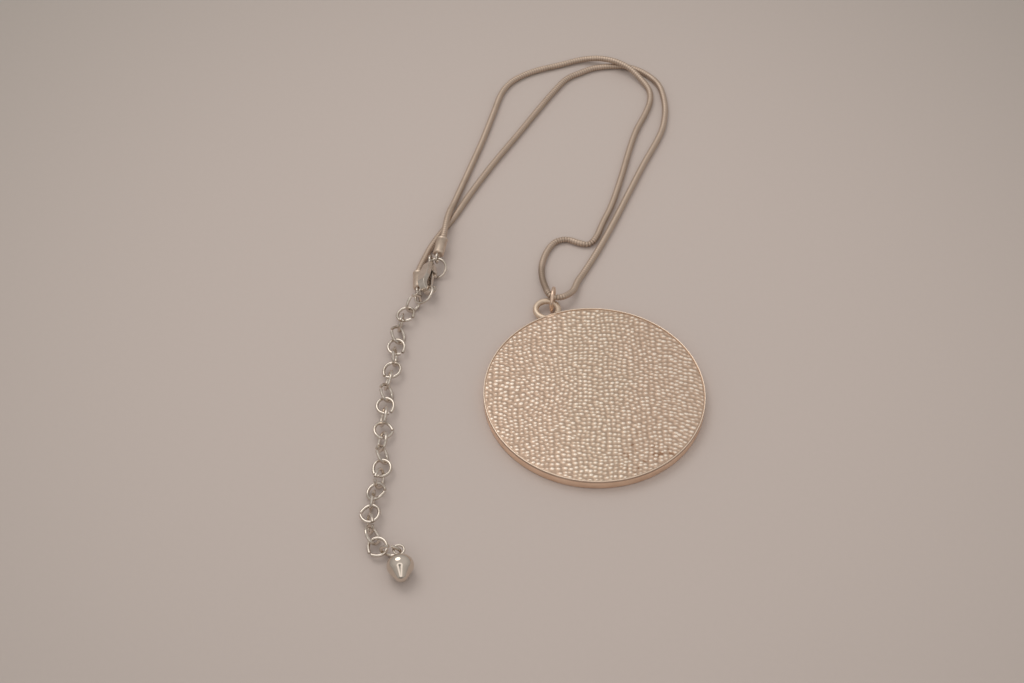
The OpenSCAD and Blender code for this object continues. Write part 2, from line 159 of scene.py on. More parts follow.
class Sheet:
    """A node tree that is being written."""

    def __init__(self, tree: bpy.types.NodeTree) -> None:
        """Keeps the tree."""
        self.tree = tree

    def feed(self, socket: bpy.types.NodeSocket, value: object) -> None:
        """Links a wire to a socket, or sets the socket's own value.

        Args:
            socket: the input.
            value: a wire, a number, a vector or a name.
        """
        if isinstance(value, Wire):
            self.tree.links.new(value.socket, socket)
            return
        if socket.type == "RGBA" and isinstance(value, (tuple, list)) and len(value) == 3:
            value = (*value, 1.0)
        socket.default_value = value

    def node(self, kind: str, settings: dict | None = None, inputs: dict | None = None,
             out: int | str = 0) -> Wire:
        """Adds any node.

        Args:
            kind: the node's type.
            settings: its settings, set first; "stops" are a ramp's places and colours.
            inputs: values or wires by socket name or number.
            out: name or number of the output that is wanted.

        Returns:
            That output.
        """
        made = self.tree.nodes.new(kind)
        for name, value in (settings or {}).items():
            if name == "stops":
                marks = made.color_ramp.elements
                while len(marks) < len(value):
                    marks.new(1.0)
                for mark, (place, colour) in zip(marks, value):
                    mark.position, mark.color = place, (*colour, 1.0)
            else:
                setattr(made, name, value)
        for name, value in (inputs or {}).items():
            self.feed(made.inputs[name], value)
        return Wire(self, made.outputs[out])

    def maths(self, operation: str, *values: Number) -> Wire:
        """A Math node with those values."""
        return self.node("ShaderNodeMath", {"operation": operation}, dict(enumerate(values)))

    def lift(self, value: Number) -> Wire:
        """A wire for a number, or the wire itself."""
        return value if isinstance(value, Wire) else self.maths("ADD", value, 0.0)

    def join(self, x: Number, y: Number, z: Number) -> Wire:
        """A vector from three values."""
        return self.node("ShaderNodeCombineXYZ", None, {0: x, 1: y, 2: z})

    def split(self, vector: Wire) -> tuple[Wire, Wire, Wire]:
        """The three values of a vector."""
        first = self.node("ShaderNodeSeparateXYZ", None, {0: vector})
        return tuple(Wire(self, socket) for socket in first.socket.node.outputs[:3])

    def vectors(self, operation: str, *values: object, out: int | str = 0) -> Wire:
        """A Vector Math node with those values."""
        return self.node("ShaderNodeVectorMath", {"operation": operation}, dict(enumerate(values)), out)

    def scaled(self, vector: object, factor: Number) -> Wire:
        """A vector times a number."""
        return self.node("ShaderNodeVectorMath", {"operation": "SCALE"}, {"Vector": vector, "Scale": factor})

    def blend(self, low: object, high: object, share: Number) -> Wire:
        """A colour between two, at that share of the way."""
        return self.node("ShaderNodeMix", {"data_type": "RGBA"}, {0: share, 6: low, 7: high}, 2)

    def cloud(self, vector: Wire, scale: float, detail: float = 2.0, rough: float = 0.5) -> Wire:
        """Soft noise.

        Args:
            vector: where it is read.
            scale: patches for each metre.
            detail: number of finer layers.
            rough: how strong these are.

        Returns:
            A value round 0.5.
        """
        return self.node("ShaderNodeTexNoise", None,
                         {"Vector": vector, "Scale": scale, "Detail": detail, "Roughness": rough})

    def dice(self, a: Number, b: Number, seed: float) -> Wire:
        """A fixed random share for a pair of whole numbers."""
        place = self.join(a, b, seed)
        return self.node("ShaderNodeTexWhiteNoise", {"noise_dimensions": "3D"}, {"Vector": place})

    def attribute(self, name: str) -> Wire:
        """A value that the mesh carries by name, read in a finish."""
        return self.node("ShaderNodeAttribute", {"attribute_name": name}, None, "Fac")


class Size(Enum):
    """What a recipe's input holds."""

    LENGTH = "NodeSocketFloat"
    COUNT = "NodeSocketInt"
    FINISH = "NodeSocketMaterial"


class Recipe(Sheet):
    """A geometry tree with named inputs, which is run once and leaves a plain mesh."""

    def __init__(self, name: str, sizes: dict[str, float | int]) -> None:
        """Makes the tree and its inputs.

        Args:
            name: the tree's name.
            sizes: name and value of each input.
        """
        super().__init__(bpy.data.node_groups.new(name, "GeometryNodeTree"))
        self.name, self.sizes = name, dict(sizes)
        face = self.tree.interface
        face.new_socket("Geometry", in_out="INPUT", socket_type="NodeSocketGeometry")
        for key, value in sizes.items():
            kind = Size.COUNT if isinstance(value, int) else Size.LENGTH
            face.new_socket(key, in_out="INPUT", socket_type=kind.value)
        face.new_socket("Finish", in_out="INPUT", socket_type=Size.FINISH.value)
        face.new_socket("Geometry", in_out="OUTPUT", socket_type="NodeSocketGeometry")
        self.entry = self.tree.nodes.new("NodeGroupInput")

    def size(self, name: str) -> Wire:
        """One of the named inputs."""
        return Wire(self, self.entry.outputs[name])

    def named(self, name: str) -> Wire:
        """A value that the geometry carries by name."""
        kind = {"data_type": "FLOAT"}
        return self.node("GeometryNodeInputNamedAttribute", kind, {"Name": name}, "Attribute")

    def store(self, geometry: Wire, name: str, value: Number) -> Wire:
        """Keeps a value on the geometry's points by name.

        Args:
            geometry: what carries it.
            name: its name.
            value: the value.

        Returns:
            The geometry.
        """
        return self.node("GeometryNodeStoreNamedAttribute", {"data_type": "FLOAT", "domain": "POINT"},
                         {"Geometry": geometry, "Name": name, "Value": value})

    def run(self, geometry: Wire, base: bpy.types.Mesh, finish: bpy.types.Material) -> bpy.types.Mesh:
        """Ends the tree, runs it on a base and takes the result off.

        Args:
            geometry: the last geometry of the tree.
            base: the mesh that it starts from.
            finish: the material of the result.

        Returns:
            A plain mesh.
        """
        whole = self.node("GeometryNodeRealizeInstances", None, {"Geometry": geometry})
        dressed = self.node("GeometryNodeSetMaterial", None,
                            {"Geometry": whole, "Material": self.size("Finish")})
        last = self.tree.nodes.new("NodeGroupOutput")
        self.tree.links.new(dressed.socket, last.inputs[0])
        plan = bpy.data.objects.new(self.name + "_plan", base)
        bpy.context.scene.collection.objects.link(plan)
        modifier = plan.modifiers.new("recipe", "NODES")
        modifier.node_group = self.tree
        values = {**self.sizes, "Finish": finish}
        for item in self.tree.interface.items_tree:
            if item.in_out == "INPUT" and item.name in values:
                modifier[item.identifier] = values[item.name]
        view = bpy.context.evaluated_depsgraph_get()
        mesh = bpy.data.meshes.new_from_object(plan.evaluated_get(view), depsgraph=view)
        plan.modifiers.remove(modifier)
        bpy.data.objects.remove(plan)
        mesh.materials.clear()
        mesh.materials.append(finish)
        mesh.polygons.foreach_set("material_index", [0] * len(mesh.polygons))
        return mesh


# Finishes


class Finish:
    """A procedural metal finish: a sheet with a shader, filled in by its kind."""

    name = "finish"

    def write(self, sheet: Sheet, place: Wire) -> dict[str, object]:
        """Writes the finish.

        Args:
            sheet: the material's sheet.
            place: the point on the piece.

        Returns:
            What the shader's sockets get.
        """
        raise NotImplementedError

    def material(self) -> bpy.types.Material:
        """The finish as a material, made once.

        Returns:
            The material.
        """
        known = bpy.data.materials.get(self.name)
        if known:
            return known
        made = bpy.data.materials.new(self.name)
        made.use_nodes = True
        tree = made.node_tree
        tree.nodes.clear()
        sheet = Sheet(tree)
        place = sheet.node("ShaderNodeTexCoord", None, None, "Object")
        sockets = {"Metallic": 1.0, **self.write(sheet, place)}
        shader = sheet.node("ShaderNodeBsdfPrincipled", None, sockets)
        out = tree.nodes.new("ShaderNodeOutputMaterial")
        tree.links.new(shader.socket, out.inputs["Surface"])
        return made


def bumped(sheet: Sheet, height: Wire, depth: float, strength: float = 1.0) -> Wire:
    """A Bump node.

    Args:
        sheet: where it goes.
        height: the relief, from 0 to 1.
        depth: its real height in metres.
        strength: how far it tells.

    Returns:
        The normal.
    """
    relief = {"Height": height, "Distance": depth, "Strength": strength}
    return sheet.node("ShaderNodeBump", None, relief, "Normal")


@dataclass(frozen=True)
class CastGold(Finish):
    """Cast rose gold with a satin skin: edge, back and ear of the disc; its places are those of the disc."""

    name: str = "cast_rose_gold"
    light: Colour = (0.95, 0.74, 0.58)
    deep: Colour = (0.83, 0.62, 0.47)
    polished: Colour = (0.92, 0.76, 0.62)
    dull: Colour = (0.78, 0.64, 0.51)
    # Colour of the painted shade in the groove under the lip and at the foot of the wall
    shadow: Colour = (0.28, 0.17, 0.12)
    rough: float = 0.36
    lip_from: float = 2.2 * MM
    lip_full: float = 2.32 * MM
    ear_from: float = 22.45 * MM
    ear_full: float = 22.75 * MM
    wall_from: float = 22.3 * MM
    wall_full: float = 22.4 * MM
    # Where the painted shade lies: a line in the groove under the lip and a band at the foot of the wall
    groove_z: float = 2.06 * MM
    groove_reach: float = 0.3 * MM
    groove_core: float = 0.12 * MM
    foot_top: float = 0.5 * MM
    foot_core: float = 0.05 * MM

    def write(self, sheet: Sheet, place: Wire) -> dict[str, object]:
        """Soft clouds of colour, a polished lip, a dull ear, and dark lines of painted shade in the groove and
        at the foot.

        Args:
            sheet: the material's sheet.
            place: the point on the piece.

        Returns:
            What the shader's sockets get.
        """
        cloud = sheet.cloud(place, 260.0, 3.0)
        grain = sheet.cloud(place, 2600.0, 3.0, 0.6)
        x, y, z = sheet.split(place)
        edge = z.ease(self.lip_from, self.lip_full)
        far = (x ** 2 + y ** 2) ** 0.5
        ear = far.ease(self.ear_from, self.ear_full)
        metal = sheet.blend(self.light, self.deep, cloud.ease(0.35, 0.7) * 0.7)
        metal = sheet.blend(metal, self.polished, edge)
        metal = sheet.blend(metal, self.dull, ear)
        wall = (1 - ear) * far.ease(self.wall_from, self.wall_full)
        # Painted shade: a dark line in the groove under the lip, and a painted contact shadow along the foot
        groove = (z - self.groove_z).abs().ease(self.groove_reach, self.groove_core) * wall
        foot = z.ease(self.foot_top, self.foot_core) * (1 - ear)
        return {
            "Base Color": sheet.blend(metal, self.shadow, groove * 0.75 + foot * 0.3),
            "Roughness": self.rough - edge * 0.08 + ear * 0.12 + grain * 0.1,
            "Normal": bumped(sheet, grain, 0.03 * MM, 0.5),
        }


@dataclass(frozen=True)
class PebbleGold(Finish):
    """Champagne pebbles with painted highlights on the crowns, painted shade in the seams and a few tarnished
    spots.
    """

    name: str = "pebbled_gold"
    crown: Colour = (0.58, 0.432, 0.33)
    pale: Colour = (0.56, 0.443, 0.338)
    # Colour of the painted shade in the seams between the pebbles, also laid over the face towards the left
    seam_shade: Colour = (0.48, 0.352, 0.266)
    # Colour of the painted highlights on the crowns
    painted_highlight: Colour = (0.97, 0.87, 0.76)
    tarnish: Colour = (0.33, 0.17, 0.09)
    # Between which places in x the face turns darker towards the left
    left: tuple[float, float] = (-3.0 * MM, -18.0 * MM)
    spots_at: Point = (10.5 * MM, -16.5 * MM, 2.0 * MM)
    spots_reach: float = 10.0 * MM
    spots_core: float = 2.0 * MM

    def write(self, sheet: Sheet, place: Wire) -> dict[str, object]:
        """Painted highlights on the crowns and painted shade in the seams by height, the face darker towards
        the left, a pale band down the middle and a few tarnished spots.

        Args:
            sheet: the material's sheet.
            place: the point on the piece.

        Returns:
            What the shader's sockets get.
        """
        crown = sheet.attribute("crown")
        x, y, z = sheet.split(place)
        drift = sheet.cloud(place, 90.0, 2.0)
        band = (x / MM + drift * 12 - 6).abs().ease(11.0, 3.0)
        metal = sheet.blend(self.crown, self.pale, band * 0.8)
        # Painted shade: the seam colour in the low parts between the pebbles, and the face darker towards the
        # left
        deep = (crown.ease(0.7, 0.2) * 0.7).most(x.ease(*self.left) * 0.75)
        metal = sheet.blend(metal, self.seam_shade, deep)
        # Painted highlight: a pale spot on each crown
        metal = sheet.blend(metal, self.painted_highlight, crown.ease(0.66, 0.9) * 0.85)
        reach = sheet.vectors("DISTANCE", place, self.spots_at, out="Value")
        near = reach.ease(self.spots_reach, self.spots_core)
        spots = sheet.cloud(place, 620.0, 3.0, 0.6).ease(0.56, 0.68) * near
        worn = spots * crown.ease(0.95, 0.3)
        skin = sheet.cloud(place, 3000.0, 2.0)
        return {
            "Base Color": sheet.blend(metal, self.tarnish, worn * 0.8),
            "Roughness": 0.4 + crown.ease(0.8, 0.1) * 0.08 + worn * 0.25,
            "Normal": bumped(sheet, skin, 0.012 * MM, 0.5),
        }


@dataclass(frozen=True)
class WornMetal(Finish):
    """Plated metal with faint clouds, fine scratches and a chosen gloss."""

    name: str = "bright_silver"
    light: Colour = (0.70, 0.63, 0.56)
    deep: Colour = (0.53, 0.46, 0.39)
    rough: float = 0.16
    clouds: float = 500.0
    scratch: float = 0.008

    def write(self, sheet: Sheet, place: Wire) -> dict[str, object]:
        """Clouds in colour and gloss, and drawn-out scratches as relief.

        Args:
            sheet: the material's sheet.
            place: the point on the piece.

        Returns:
            What the shader's sockets get.
        """
        cloud = sheet.cloud(place, self.clouds, 3.0)
        drawn = sheet.vectors("MULTIPLY", place, (1.0, 0.25, 1.0))
        lines = sheet.cloud(drawn, 4200.0, 2.0, 0.6)
        return {
            "Base Color": sheet.blend(self.light, self.deep, cloud.ease(0.4, 0.75) * 0.6),
            "Roughness": self.rough + cloud * 0.1 * (0.4 + self.rough),
            "Normal": bumped(sheet, lines, self.scratch * MM, 0.5),
        }


@dataclass(frozen=True)
class WovenSilver(Finish):
    """The snake chain's plated weave, which reads its place along and round the strand."""

    name: str = "woven_silver"
    light: Colour = (0.63, 0.51, 0.415)
    # Colour of the painted shade in the seams between the plates
    deep: Colour = (0.26, 0.19, 0.14)
    pitch: float = 0.6 * MM
    # The stretch of painted shade where the plates open: its middle, and where it starts and is full
    shaded_stretch_at: Point = (-10.6 * MM, 31.0 * MM, 1.0 * MM)
    shaded_stretch_reach: float = 6.0 * MM
    shaded_stretch_core: float = 3.0 * MM

    def write(self, sheet: Sheet, place: Wire) -> dict[str, object]:
        """Painted shade in the seams between the plates, most of all in bends, and more painted shade on one
        stretch where the plates open.

        Args:
            sheet: the material's sheet.
            place: the point on the piece.

        Returns:
            What the shader's sockets get.
        """
        along, round_ = sheet.attribute("along"), sheet.attribute("round")
        bend = sheet.attribute("bend")
        slant = ((round_ * 4.0) % 1.0 - 0.5).abs() * 0.16
        wave = ((along / self.pitch + slant) * math.tau).cos() * 0.5 + 0.5
        cloud = sheet.cloud(place, 300.0, 2.0)
        # Painted shade: dark seams between the plates, darker in bends and on the opened stretch
        seam_shade = wave.ease(0.7, 1.0)
        reach = sheet.vectors("DISTANCE", place, self.shaded_stretch_at, out="Value")
        dull = reach.ease(self.shaded_stretch_reach, self.shaded_stretch_core)
        tone = seam_shade * (0.45 + bend * 0.35 + dull * 0.4) + cloud.ease(0.5, 0.8) * 0.15 + dull * 0.3
        return {
            "Base Color": sheet.blend(self.light, self.deep, tone.least(1.0)),
            "Roughness": 0.5 + seam_shade * 0.08 + cloud * 0.06,
            "Normal": bumped(sheet, 1 - wave, 0.035 * MM, 0.4),
        }


@dataclass(frozen=True)
class Tabletop(Finish):
    """Pale matt paper under everything, with a painted fall-off of light that makes it a little darker away
    from the middle.
    """

    name: str = "pale_paper"
    light: Colour = (0.63, 0.55, 0.51)
    deep: Colour = (0.36, 0.33, 0.30)
    middle: tuple[float, float] = (-0.008, 0.01)
    narrow: float = 0.9
    painted_falloff_from: float = 0.04
    painted_falloff_to: float = 0.26

    def write(self, sheet: Sheet, place: Wire) -> dict[str, object]:
        """A soft painted fall-off of light and a barely visible grain.

        Args:
            sheet: the material's sheet.
            place: the point on the piece.

        Returns:
            What the shader's sockets get.
        """
        grain = sheet.cloud(place, 900.0, 4.0)
        x, y, z = sheet.split(place)
        far = ((x - self.middle[0]) ** 2 + ((y - self.middle[1]) * self.narrow) ** 2) ** 0.5
        # Painted light fall-off: the paper darker away from the middle
        share = far.ease(self.painted_falloff_from, self.painted_falloff_to)
        return {
            "Metallic": 0.0,
            "Base Color": sheet.blend(self.light, self.deep, share + grain * 0.06),
            "Roughness": 0.85,
            "Specular IOR Level": 0.2,
            "Normal": bumped(sheet, grain, 0.02 * MM, 0.3),
        }


CAST_GOLD = CastGold()
PEBBLE_GOLD = PebbleGold()
RING_GOLD = WornMetal("ring_gold", (0.84, 0.64, 0.50), (0.64, 0.46, 0.34), 0.24)
BRIGHT_SILVER = WornMetal()
SATIN_SILVER = WornMetal("satin_cap", (0.69, 0.57, 0.47), (0.55, 0.44, 0.35), 0.45, 900.0, 0.02)
MIRROR_SILVER = WornMetal("mirror_silver", (0.70, 0.62, 0.54), (0.62, 0.54, 0.46), 0.05, 300.0, 0.002)
WOVEN_SILVER = WovenSilver()
PAPER = Tabletop()


# Shapes


def arc(centre: tuple[float, float], radius: float, start: float, end: float,
        steps: int) -> list[tuple[float, float]]:
    """Points of an arc.

    Args:
        centre: its centre.
        radius: its radius.
        start: first angle in degrees.
        end: last angle.
        steps: number of steps between them.

    Returns:
        The points in order.
    """
    turns = [math.radians(start + (end - start) * k / steps) for k in range(steps + 1)]
    return [(centre[0] + radius * math.cos(t), centre[1] + radius * math.sin(t)) for t in turns]


def aimed(at: Point, direction: Point) -> Matrix:
    """The place whose x axis points along a direction.

    Args:
        at: the place.
        direction: where its x axis points.

    Returns:
        The matrix, in millimetres.
    """
    way = Vector(direction).normalized()
    turns = Euler((0, -math.asin(way.z), math.atan2(way.y, way.x)))
    return Matrix.Translation(at) @ turns.to_matrix().to_4x4()


def turned(at: Point, degrees: Point = (0, 0, 0)) -> Matrix:
    """A place with turns about x, then y, then z.

    Args:
        at: the place.
        degrees: the three turns.

    Returns:
        The matrix, in millimetres.
    """
    return Matrix.Translation(at) @ Euler([math.radians(d) for d in degrees]).to_matrix().to_4x4()


UPRIGHT = turned((0, 0, 0))
ALONG_X = turned((0, 0, 0), (0, 90, 0))


class Shape:
    """A mesh in millimetres that is put together from turned, swept and bent pieces."""

    # Least radius of a turned point; half the gap of a ring's joint in degrees, and its wire's slimmer ends
    axis_r = 1e-4
    joint_turn = 1.2
    joint_slim = (0.8, 0.96)

    def __init__(self, name: str) -> None:
        """Starts an empty mesh of that name."""
        self.name, self.mesh, self.finishes = name, bmesh.new(), []

    def _slot(self, finish: Finish) -> int:
        """Gives a finish a number on this piece.

        Args:
            finish: the finish.

        Returns:
            Its number.
        """
        if finish not in self.finishes:
            self.finishes.append(finish)
        return self.finishes.index(finish)

    def skin(self, rows: Sequence[Sequence[Vector]], finish: Finish, loop_rows: bool, loop_sides: bool,
             place: Matrix = UPRIGHT) -> None:
        """Joins rows of points with quads.

        Args:
            rows: rows of equally many points.
            finish: what they wear.
            loop_rows: true if the last row joins the first.
            loop_sides: true if each row is closed.
            place: where it stands.
        """
        slot = self._slot(finish)
        points = [[self.mesh.verts.new(place @ Vector(p)) for p in row] for row in rows]
        count, sides = len(points), len(points[0])
        for i in range(count if loop_rows else count - 1):
            for k in range(sides if loop_sides else sides - 1):
                a, b = points[i], points[(i + 1) % count]
                face = self.mesh.faces.new((a[k], b[k], b[(k + 1) % sides], a[(k + 1) % sides]))
                face.material_index, face.smooth = slot, True
        if loop_sides and not loop_rows:
            for row, back in ((points[0], False), (points[-1], True)):
                face = self.mesh.faces.new(row[::-1] if back else row)
                face.material_index = slot

    def lathe(self, profile: Sequence[tuple[float, float]], finish: Finish, place: Matrix = UPRIGHT,
              sides: int = 96) -> None:
        """Turns a profile about z; its ends are on the axis.

        Args:
            profile: radius and height of each point.
            finish: what it wears.
            place: where it stands.
            sides: number of steps round.
        """
        rows = []
        for k in range(sides):
            t = math.tau * k / sides
            way = Vector((math.cos(t), math.sin(t), 0))
            rows.append([max(r, self.axis_r) * way + Vector((0, 0, z)) for r, z in profile])
        self.skin(rows, finish, True, False, place)

    def ring(self, outer: float, wire: float, finish: Finish, place: Matrix, cut: float | None = None,
             sides: int = 20, steps: int = 80) -> None:
        """A ring of round wire in the plane z = 0.

        Args:
            outer: its outer diameter.
            wire: its thickness.
            finish: what it wears.
            place: where it lies.
            cut: direction of the hairline joint in degrees, if it has one.
            sides: steps round the wire.
            steps: steps round the ring.
        """
        middle, thin = (outer - wire) / 2, wire / 2
        split = self.joint_turn if cut is not None else 0.0
        rows = []
        for k in range(steps + (1 if split else 0)):
            t = math.radians((cut or 0) + split + (360 - 2 * split) * k / steps)
            near = min(k, steps - k) if split else steps
            slim = thin * self.joint_slim[near] if near < len(self.joint_slim) else thin
            way = Vector((math.cos(t), math.sin(t), 0))
            rows.append([way * (middle + slim * math.cos(a)) + Vector((0, 0, slim * math.sin(a)))
                         for a in (math.tau * i / sides for i in range(sides))])
        self.skin(rows, finish, not split, True, place)

    def finish(self, body: str, slot: str, nodes: Sequence[str]) -> bpy.types.Object:
        """Makes the object and ties it to the model.

        Args:
            body: the body that it rides on.
            slot: the record's material slot; not used.
            nodes: the solids that it stands for.

        Returns:
            The object.
        """
        bmesh.ops.remove_doubles(self.mesh, verts=self.mesh.verts, dist=0.002)
        bmesh.ops.dissolve_degenerate(self.mesh, edges=self.mesh.edges, dist=0.0005)
        bmesh.ops.recalc_face_normals(self.mesh, faces=self.mesh.faces)
        bmesh.ops.scale(self.mesh, vec=(MM, MM, MM), verts=self.mesh.verts)
        mesh = bpy.data.meshes.new(self.name)
        self.mesh.to_mesh(mesh)
        self.mesh.free()
        for finish in self.finishes:
            mesh.materials.append(finish.material())
        return tie(mesh, self.name, body, nodes)


def tie(mesh: bpy.types.Mesh, name: str, body: str, nodes: Sequence[str]) -> bpy.types.Object:
    """Makes an object of a finished mesh and ties it to the model.

    Args:
        mesh: the mesh, in metres.
        name: the piece's name.
        body: the body that it rides on.
        nodes: the solids that it stands for.

    Returns:
        The object.
    """
    mesh.name = name
    piece = bpy.data.objects.new(name, mesh)
    bpy.context.scene.collection.objects.link(piece)
    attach(piece, body)
    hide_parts(*nodes)
    log.info("%s: %d faces on %s, for %s", name, len(mesh.polygons), body, ", ".join(nodes))
    return piece


def softened(node: str, grain: float, rounds: int) -> bpy.types.Mesh:
    """A copy of a solid with its edges rounded as a polished casting's are.

    Args:
        node: the solid.
        grain: size of the new faces in metres.
        rounds: how often it is smoothed.

    Returns:
        The mesh, in metres.
    """
    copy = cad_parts[node].data.copy()
    work = bmesh.new()
    work.from_mesh(copy)
    bmesh.ops.remove_doubles(work, verts=work.verts, dist=0.001 * MM)
    work.to_mesh(copy)
    work.free()
    plan = bpy.data.objects.new(node + "_plan", copy)
    bpy.context.scene.collection.objects.link(plan)
    shell = plan.modifiers.new("shell", "REMESH")
    shell.mode, shell.voxel_size, shell.use_smooth_shade = "VOXEL", grain, True
    smooth = plan.modifiers.new("smooth", "SMOOTH")
    smooth.factor, smooth.iterations = 0.5, rounds
    view = bpy.context.evaluated_depsgraph_get()
    mesh = bpy.data.meshes.new_from_object(plan.evaluated_get(view), depsgraph=view)
    plan.modifiers.clear()
    bpy.data.objects.remove(plan)
    mesh.materials.clear()
    return mesh


# The disc


def blunt(value: float, power: float = 0.6) -> float:
    """A sine or cosine pressed outwards, for a rounded square section."""
    return math.copysign(abs(value) ** power, value)


class Seed(Enum):
    """Fixed starting numbers of what is random on the face."""

    COLUMN_SWAY = 8.2
    ROW_SWAY = 3.1
    SLIDE = 3.7
    START = 5.0
    ACROSS = 11.0
    ALONG = 21.0
    HEIGHT = 31.0


@dataclass
class PebbledDisc:
    """The cast disc: a turned blank with lip and groove, its ear, and the pebbled face."""

    diameter: float = 45.0
    thick: float = 2.4
    edge: float = 0.26
    back_round: float = 0.2
    groove_depth: float = 0.2
    groove_height: float = 0.16
    groove_soft: float = 0.03
    sides: int = 320
    ear_d: float = 6.0
    ear_wire: float = 1.25
    ear_turn: float = 112.3
    ear_bite: float = 1.0
    ear_z: float = 1.605
    # The neck's root inside the disc, and at root and ear its half width and height as shares of the ear
    neck_root: float = 0.75
    neck_half: tuple[float, float] = (0.54, 0.34)
    neck_tall: tuple[float, float] = (0.46, 0.36)
    neck_curve: float = 1.3
    neck_rows: int = 8
    neck_sides: int = 32
    pebble_w: float = 1.02
    pebble_l: float = 0.98
    pebble_h: float = 0.085
    seam_depth: float = 0.24
    samples: int = 6
    # How far columns and rows sway and a column slides, in pebbles, and how fine the patches of both are
    sway: tuple[float, float] = (2.2, 2.6)
    sway_patch: float = 0.09
    slide: tuple[float, float] = (2.4, 0.6)
    slide_patch: float = 0.23
    # How far a pebble strays across and along its column
    stray: tuple[float, float] = (0.42, 0.36)
    # Where the rows start to drop off on the right, in millimetres, and how fast
    fall_from: float = 9.0
    fall_rate: float = 0.014
    # A pebble's least height and the spread above it; how steep it is across, how much less on the right,
    # between which places in millimetres, and how steep along
    dome: tuple[float, float] = (0.84, 0.16)
    steep_across: tuple[float, float] = (1.8, 0.7)
    steep_right: tuple[float, float] = (11.0, 17.0)
    steep_along: float = 3.2
    rim_slope: float = 0.3
    rim_spare: float = 0.2
    skirt: float = 0.2
    weld: float = 0.004

    @property
    def radius(self) -> float:
        """Half the diameter."""
        return self.diameter / 2

    @property
    def seam_z(self) -> float:
        """Height of the seams between the pebbles."""
        return self.thick - self.seam_depth

    @property
    def face_r(self) -> float:
        """Radius of the pebbled face, which ends inside the lip."""
        return self.radius - 0.8 * self.edge

    @property
    def ear_reach(self) -> float:
        """Distance from the disc's centre to the ear's."""
        return self.radius + self.ear_d / 2 - self.ear_bite

    @property
    def ear_r(self) -> float:
        """Radius of the middle line of the ear's wire."""
        return (self.ear_d - self.ear_wire) / 2

    @property
    def ear_at(self) -> Vector:
        """The ear's centre."""
        turn = math.radians(self.ear_turn)
        return Vector((self.ear_reach * math.cos(turn), self.ear_reach * math.sin(turn), self.ear_z))

    def blank(self) -> None:
        """Turns the blank and casts the ear on."""
        shape = Shape("disc_blank")
        r, t = self.radius, self.thick
        low = t - self.edge
        edge_r, back_r = self.edge / 2, self.back_round
        deep, tall, soft = self.groove_depth, self.groove_height, self.groove_soft
        floor = self.seam_z - self.skirt / 2
        profile = [(0, 0), (r * 0.5, 0)] + arc((r - back_r, back_r), back_r, -90, 0, 8)
        profile += [(r, low - tall - 2 * soft), (r - soft, low - tall), (r - deep, low - tall * 0.75),
                    (r - deep, low - tall * 0.25), (r - soft, low)]
        profile += arc((r - edge_r, t - edge_r), edge_r, -12, 180, 14)
        profile += [(r - self.edge, floor), (r * 0.5, floor), (0, floor)]
        shape.lathe(profile, CAST_GOLD, sides=self.sides)
        shape.ring(self.ear_d, self.ear_wire, CAST_GOLD, turned(tuple(self.ear_at)), sides=28, steps=72)
        self._neck(shape)
        shape.finish("necklace", "rose_metal", ["pendant_disc"])

    def _neck(self, shape: Shape) -> None:
        """Adds a rounded web that flows from the disc's edge into the ear's wire.

        Args:
            shape: the blank.
        """
        out = Matrix.Rotation(math.radians(self.ear_turn), 4, "Z")
        start = self.radius - self.neck_root
        rows = []
        for k in range(self.neck_rows + 1):
            u = k / self.neck_rows
            root, tip = self.neck_half
            half = self.ear_d * (tip + (root - tip) * (1 - u) ** self.neck_curve)
            root, tip = self.neck_tall
            tall = self.ear_wire * (root + (tip - root) * u)
            row = []
            for i in range(self.neck_sides):
                a = math.tau * i / self.neck_sides
                y, z = half * blunt(math.cos(a)), tall * blunt(math.sin(a))
                end = self.ear_reach - math.sqrt(self.ear_r ** 2 - min(abs(y), 0.9 * self.ear_r) ** 2)
                row.append(Vector((start + (end - start) * u, y, self.ear_z + z)))
            rows.append(row)
        shape.skin(rows, CAST_GOLD, False, True, out)

    def _rise(self, cook: Recipe, x: Wire, y: Wire) -> Wire:
        """Writes the height of the pebbles, in columns that sway, slide and drop off on the right.

        Args:
            cook: the face's recipe.
            x: place across the columns.
            y: place along them.

        Returns:
            The height, one at the top of the tallest pebble.
        """
        lean = [cook.cloud(cook.join(x / MM * self.sway_patch, y / MM * self.sway_patch, seed.value), 1.0, 1.0)
                - 0.5 for seed in (Seed.COLUMN_SWAY, Seed.ROW_SWAY)]
        fall = (x / MM - self.fall_from).most(0) ** 2 * self.fall_rate
        u = x / cook.size("Pebble width") + lean[0] * self.sway[0]
        v = y / cook.size("Pebble length") + lean[1] * self.sway[1] + fall
        right = x.ease(self.steep_right[0] * MM, self.steep_right[1] * MM)
        across = self.steep_across[0] - right * self.steep_across[1]
        rise = cook.lift(0.0)
        for step in (-1, 0, 1):
            column = u.floor() + step
            drift = cook.cloud(cook.join(column * self.slide_patch, Seed.SLIDE.value, 0), 1.0, 0.0)
            place = v + drift * self.slide[0] + cook.dice(column, 0.0, Seed.START.value) * self.slide[1]
            for ahead in (0, 1):
                row = (place - 0.5).floor() + ahead
                du = u - column - 0.5 - (cook.dice(column, row, Seed.ACROSS.value) - 0.5) * self.stray[0]
                dv = place - row - 0.5 - (cook.dice(column, row, Seed.ALONG.value) - 0.5) * self.stray[1]
                top = self.dome[0] + cook.dice(column, row, Seed.HEIGHT.value) * self.dome[1]
                rise = rise.most(top - du * du * across - dv * dv * self.steep_along)
        return rise

